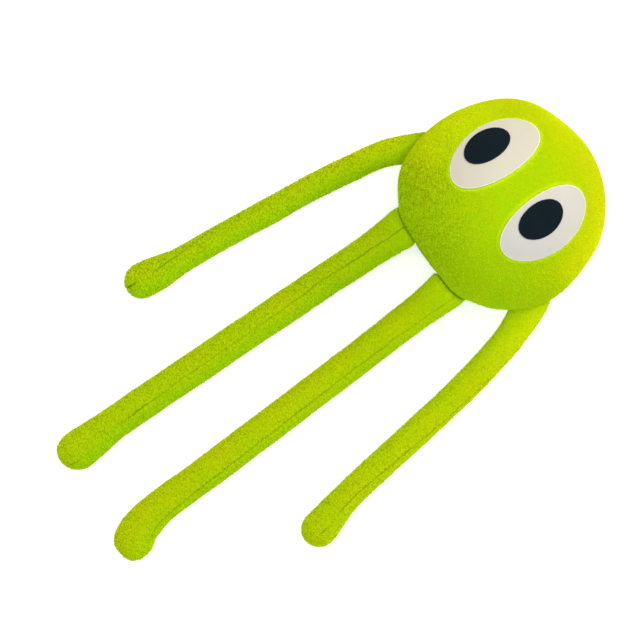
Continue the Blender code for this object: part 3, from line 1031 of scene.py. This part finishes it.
def make_stitch_tree():
    tree, add, given = new_tree("satin_stitch", "Edge", (
        ("Pitch", "Float"), ("Reach", "Float"), ("Thread Radius", "Float"), ("Material", "Material"),
    ), "Rim")
    curve = add("GeometryNodeMeshToCurve", inputs={"Mesh": given["Edge"]})
    places = add("GeometryNodeResampleCurve", {"mode": "LENGTH"}, {"Curve": curve, "Length": given["Pitch"]})
    up, outward = (
        add("GeometryNodeInputNamedAttribute", {"data_type": "FLOAT_VECTOR"}, {"Name": key})
        for key in ("up", "outward")
    )
    turned = add("FunctionNodeAxesToRotation", {"primary_axis": "Z", "secondary_axis": "X"}, {
        "Primary Axis": up, "Secondary Axis": outward,
    })
    ball = add("GeometryNodeMeshUVSphere", inputs={"Segments": 6, "Rings": 4, "Radius": 1.0})
    shape = add("ShaderNodeCombineXYZ", inputs={
        "X": given["Reach"], "Y": given["Thread Radius"], "Z": given["Thread Radius"],
    })
    thread = add("GeometryNodeTransform", inputs={"Geometry": ball, "Scale": shape})
    size = add("FunctionNodeRandomValue", {"data_type": "FLOAT"}, {
        2: THREAD_SIZES[0], 3: THREAD_SIZES[1], "Seed": 8,
    })
    laid = add("GeometryNodeInstanceOnPoints", inputs={
        "Points": places, "Instance": thread, "Rotation": turned, "Scale": size.outputs[1],
    })
    real = add("GeometryNodeRealizeInstances", inputs={"Geometry": laid})
    smooth = add("GeometryNodeSetShadeSmooth", inputs={"Geometry": real})
    rim = add("GeometryNodeSetMaterial", inputs={"Geometry": smooth, "Material": given["Material"]})
    add("NodeGroupOutput", inputs={"Rim": rim})
    return tree


stitch_tree = make_stitch_tree()


# %% Running a tree
def socket_id(tree, name):
    return next(item.identifier for item in tree.interface.items_tree if item.name == name)


def grown(name, mesh, tree, slot, **inputs):
    """What the tree makes from this mesh with these inputs, as a plain mesh that rides on the pillow."""
    bed = placed(name + "_bed", mesh)
    modifier = bed.modifiers.new("grow", "NODES")
    modifier.node_group = tree
    for key, value in inputs.items():
        modifier[socket_id(tree, key.replace("_", " ").title())] = value
    evaluated = bed.evaluated_get(bpy.context.evaluated_depsgraph_get())
    obj = placed(name, bpy.data.meshes.new_from_object(evaluated))
    bpy.data.objects.remove(bed)
    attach(obj, "root")
    print(name, len(obj.data.polygons), "faces")
    return obj


# %% The four rims
STITCH_PITCH_ON_RIM = 0.00075
STITCH_REACH = 0.0013
THREAD_RADIUS = 0.00055
RIM_INSET = 0.0008
RIM_POINTS = 240


def make_rim(name, axes, oval, lift, slot, thread):
    """Satin stitch over the edge of a felt oval."""
    turn = np.arange(RIM_POINTS) * 2 * np.pi / RIM_POINTS
    insets = (RIM_INSET, RIM_INSET - 0.001)
    edge, beyond = (oval_points(axes, oval, 1.0, inset, turn, lift) for inset in insets)
    line = bpy.data.meshes.new(name + "_line")
    line.from_pydata([tuple(p) for p in edge], [(i, (i + 1) % RIM_POINTS) for i in range(RIM_POINTS)], [])
    store(line, "up", head_normals(edge))
    store(line, "outward", unit(beyond - edge))
    grown(
        name, line, stitch_tree, slot, pitch=STITCH_PITCH_ON_RIM, reach=STITCH_REACH,
        thread_radius=THREAD_RADIUS, material=thread,
    )


for side_name, axes in eyes.items():
    for part, (_, slot, oval, _, lift) in PARTS.items():
        make_rim(f"{side_name}_{part}_rim", axes, oval, lift, slot, threads[part])

# %% [markdown]
# ## The nap
#
# The nap is what makes plush look soft: thousands of short tufts, each leaning a little its own way and
# all of them combed roughly down the pillow. Geometry Nodes plant them: points spread evenly over the
# cloth, a slim three-sided tuft on each, turned to the surface and tipped over. Each tuft has three
# faces, because there are very many of them.

# %% How the head's nap lies, its painted sheen, highlight and shade, and where it stands
# The head's painted sheen is golden on the slopes that face this way, towards the crown lamp
PAINTED_SHEEN_TOWARDS = np.array([-0.31, 0.95])
TO_LIMBS = np.array([-0.574, -0.819, 0.0])
HEAD_LIE = 0.27
HEAD_PAINTED_SHEEN = 0.53
EYE_PUFF = 0.0013
EYE_PUFF_AT = 0.003
EYE_PUFF_WIDTH = 0.004
# A pale ring round the eyes, painted highlight where the nap is puffed up
EYE_PAINTED_HIGHLIGHT = 0.48
EYE_PAINTED_HIGHLIGHT_AT = 0.0015
EYE_PAINTED_HIGHLIGHT_WIDTH = 0.0045


def past_felt(points):
    """Roughly how far each point is outside the nearer eye's felt, in metres, and below 0 under it."""
    nearest = np.full(len(points), np.inf)
    directions = unit(points - HEAD_CENTRE)
    for middle, across, along in eyes.values():
        ahead = directions @ middle
        angle = np.arccos(np.clip(ahead, -1, 1)) * HEAD_WIDTH / 2
        toward = unit(directions - ahead[:, None] * middle + 1e-9)
        x, y = toward @ across * angle, toward @ along * angle
        share = np.hypot(x / (EYE_WIDTH / 2), y / (EYE_LENGTH / 2))
        nearest = np.minimum(nearest, (1 - 1 / np.maximum(share, 1e-6)) * np.hypot(x, y))
    return nearest


def comb_head():
    """Greener on top and golden on the slopes that face the crown lamp, which is painted sheen. Puffed up
    round the eyes, with a pale ring there as painted highlight; paler on the slope that faces -X, as
    painted light; and more dark grain towards the limbs, as painted shade.
    """
    points = read_values(head.data.vertices, "co")
    normals = read_values(head.data.vertex_normals, "vector")
    outside = past_felt(points)
    puff = EYE_PUFF * bell(outside - EYE_PUFF_AT, EYE_PUFF_WIDTH)
    head.data.vertices.foreach_set("co", (points + normals * puff[:, None]).ravel())
    head.data.update()
    slope = np.clip((1 - normals[:, 2]) / 0.4, 0, 1)
    level = normals[:, :2] / np.maximum(np.linalg.norm(normals[:, :2], axis=1, keepdims=True), 1e-6)
    # Painted sheen: golden on the slopes towards the crown lamp. Painted light: paler on the slope that faces
    # -X
    golden = ease((level @ PAINTED_SHEEN_TOWARDS + 0.95) / 1.1)
    painted_light_on_left_slope = 0.30 * slope * ease((-level[:, 0] - 0.80) / 0.20)
    front = points[:, 2] > PANEL_SEAM_HEIGHT
    for name, values in (
        ("lie", HEAD_LIE + slope * (HEAD_PAINTED_SHEEN * golden - 0.02)),
        # More dark grain towards the limbs, where the head is darker: painted shade
        ("openness", ease((points @ TO_LIMBS - 0.010) / 0.110)),
        ("raised", EYE_PAINTED_HIGHLIGHT * bell(outside - EYE_PAINTED_HIGHLIGHT_AT, EYE_PAINTED_HIGHLIGHT_WIDTH) + painted_light_on_left_slope),
        ("front_nap", (outside > -0.001) & front),
        ("back_nap", ~front & (points[:, 2] > 0.004)),
    ):
        store(head.data, name, values)


comb_head()

# %% How the limbs' nap lies, its painted sheen, light and shade, and where it stands
# The side of a limb that faces this way is away from the light: golden and grainier there, paler and greener
# on the lit side, all painted
LIMBS_PAINTED_SHADE_SIDE = np.array([-0.98, -0.17, 0.0])
# Painted sheen at the arms' outer roots, painted green light near the head, and painted shade in the seam, at
# the root line and under the head
ROOT_PAINTED_SHEEN_REACH = 0.12
ROOT_PAINTED_GREEN = 0.30
ROOT_PAINTED_GREEN_REACH = 0.014
ROOT_SHADE_REACH = 0.010
ROOT_LINE_WIDTH = 0.0020
SEAM_SHADE = 0.85
ROOT_LINE_SHADE = 0.9


def comb_limb(obj, limb):
    """Golden and grainier on the side away from the light, greener and paler on the lit side: painted sheen,
    light and shade. Painted shade in the seam and creases, at the root line and under the head; paler and
    greener near the head as painted light, and golden at the arms' outer roots as painted sheen. Hardly any
    nap in the seam and at the root.
    """
    points = read_values(obj.data.vertices, "co")
    normals = read_values(obj.data.vertex_normals, "vector")
    in_seam = read_values(obj.data.attributes["in_seam"].data, "value", 1)[:, 0]
    outside = off_head(points)
    at_root = bell(outside - ROOT_GATHER_AT, ROOT_LINE_WIDTH)
    in_shade = limb["in_shade"] * fade(outside, ROOT_SHADE_REACH)
    flank = normals @ LIMBS_PAINTED_SHADE_SIDE
    near_flank, far_flank = np.maximum(flank, 0), np.maximum(-flank, 0)
    outer_side = np.clip(normals[:, 0] * np.sign(limb["route"][0][0]), 0, 1)
    far_gold, near_gold = limb["flank"]
    lie = limb["lie"] - far_gold * far_flank + near_gold * near_flank
    # Painted sheen on the outer side of the root, and painted green light close to the head
    lie += limb["root_painted_sheen"] * outer_side * fade(outside, ROOT_PAINTED_SHEEN_REACH)
    lie -= ROOT_PAINTED_GREEN * fade(outside, ROOT_PAINTED_GREEN_REACH)
    root_painted_light, reach = limb["root_painted_light"]
    shown = (outside > -0.003) & (points[:, 2] > 0.003)
    for name, values in (
        ("lie", lie),
        # Painted light near the head and on the lit flank
        ("raised", root_painted_light * fade(outside - 0.003, reach) + 0.16 * far_flank),
        ("openness", limb["openness"] + 0.25 * near_flank),
        # Painted shade in the seam and creases, at the root line and under the head
        ("sunk", np.maximum(np.maximum(SEAM_SHADE * in_seam, ROOT_LINE_SHADE * at_root), in_shade)),
        ("limb_nap", shown * (1 - 0.8 * np.maximum(in_seam, at_root))),
    ):
        store(obj.data, name, values)


for name, obj in limbs.items():
    comb_limb(obj, LIMBS[name])


# %% The node tree that plants tufts
TUFT_SIZES = (0.65, 1.25)
MOST_TUFTS = 1.2e6


def make_nap_tree():
    tree, add, given = new_tree("nap", "Cloth", (
        ("Spacing", "Float"), ("Tuft Length", "Float"), ("Tuft Radius", "Float"), ("Lean", "Float"),
        ("Scatter", "Float"), ("Where", "String"), ("Seed", "Int"), ("Material", "Material"),
    ), "Nap")
    share = add("GeometryNodeInputNamedAttribute", {"data_type": "FLOAT"}, {"Name": given["Where"]})
    comb = add("GeometryNodeInputNamedAttribute", {"data_type": "FLOAT_VECTOR"}, {"Name": "comb"})
    spread = add("GeometryNodeDistributePointsOnFaces", {"distribute_method": "POISSON"}, {
        "Mesh": given["Cloth"], "Distance Min": given["Spacing"], "Density Max": MOST_TUFTS,
        "Density Factor": share, "Seed": given["Seed"],
    })
    jitter = add("FunctionNodeRandomValue", {"data_type": "FLOAT_VECTOR"}, {
        0: (-1.0, -1.0, -1.0), 1: (1.0, 1.0, 1.0), "Seed": given["Seed"],
    })
    combed = add("ShaderNodeVectorMath", {"operation": "SCALE"}, {0: comb, "Scale": given["Lean"]})
    ruffled = add("ShaderNodeVectorMath", {"operation": "SCALE"}, {0: jitter, "Scale": given["Scatter"]})
    leaning = add("ShaderNodeVectorMath", {"operation": "ADD"}, {0: combed, 1: ruffled})
    upright = add("ShaderNodeVectorMath", {"operation": "ADD"}, {0: spread.outputs["Normal"], 1: leaning})
    turned = add("FunctionNodeAlignRotationToVector", {"axis": "Z"}, {"Vector": upright})
    size = add("FunctionNodeRandomValue", {"data_type": "FLOAT"}, {
        2: TUFT_SIZES[0], 3: TUFT_SIZES[1], "Seed": 5,
    })
    tuft = add("GeometryNodeMeshCone", {"fill_type": "NONE"}, {
        "Vertices": 3, "Radius Top": 0.0,
        "Radius Bottom": given["Tuft Radius"], "Depth": given["Tuft Length"],
    })
    planted = add("GeometryNodeInstanceOnPoints", inputs={
        "Points": spread, "Instance": tuft, "Rotation": turned, "Scale": size.outputs[1],
    })
    real = add("GeometryNodeRealizeInstances", inputs={"Geometry": planted})
    nap = add("GeometryNodeSetMaterial", inputs={"Geometry": real, "Material": given["Material"]})
    add("NodeGroupOutput", inputs={"Nap": nap})
    return tree


nap_tree = make_nap_tree()


# %% Planting the nap
# The spacing of the tufts, their length and radius, how far they lean and how far they scatter
TUFTS = {
    "front_nap": (0.00150, 0.0021, 0.0008, 0.35, 0.32),
    "back_nap": (0.00210, 0.0024, 0.0010, 0.35, 0.45),
    "limb_nap": (0.00160, 0.0022, 0.0009, 0.30, 0.45),
}


def plant_nap(name, cloth, where, plush, seed):
    """Plants the nap on a copy of the cloth, where its attribute of that name says."""
    spacing, length, radius, lean, scatter = TUFTS[where]
    grown(
        name, cloth.data.copy(), nap_tree, "plush", spacing=spacing, tuft_length=length, tuft_radius=radius,
        lean=lean, scatter=scatter, where=where, seed=seed, material=plush,
    )


plant_nap("head_front_nap", head, "front_nap", head_plush, 1)
plant_nap("head_back_nap", head, "back_nap", head_plush, 2)
for seed, (name, cloth) in enumerate(limbs.items(), start=10):
    plant_nap(f"{name}_nap", cloth, "limb_nap", limb_plush, seed)

# %% [markdown]
# ## Last things
#
# The view transform is set to Standard, so that a colour renders as it was written.

# %% Colour management
bpy.context.scene.view_settings.view_transform = "Standard"
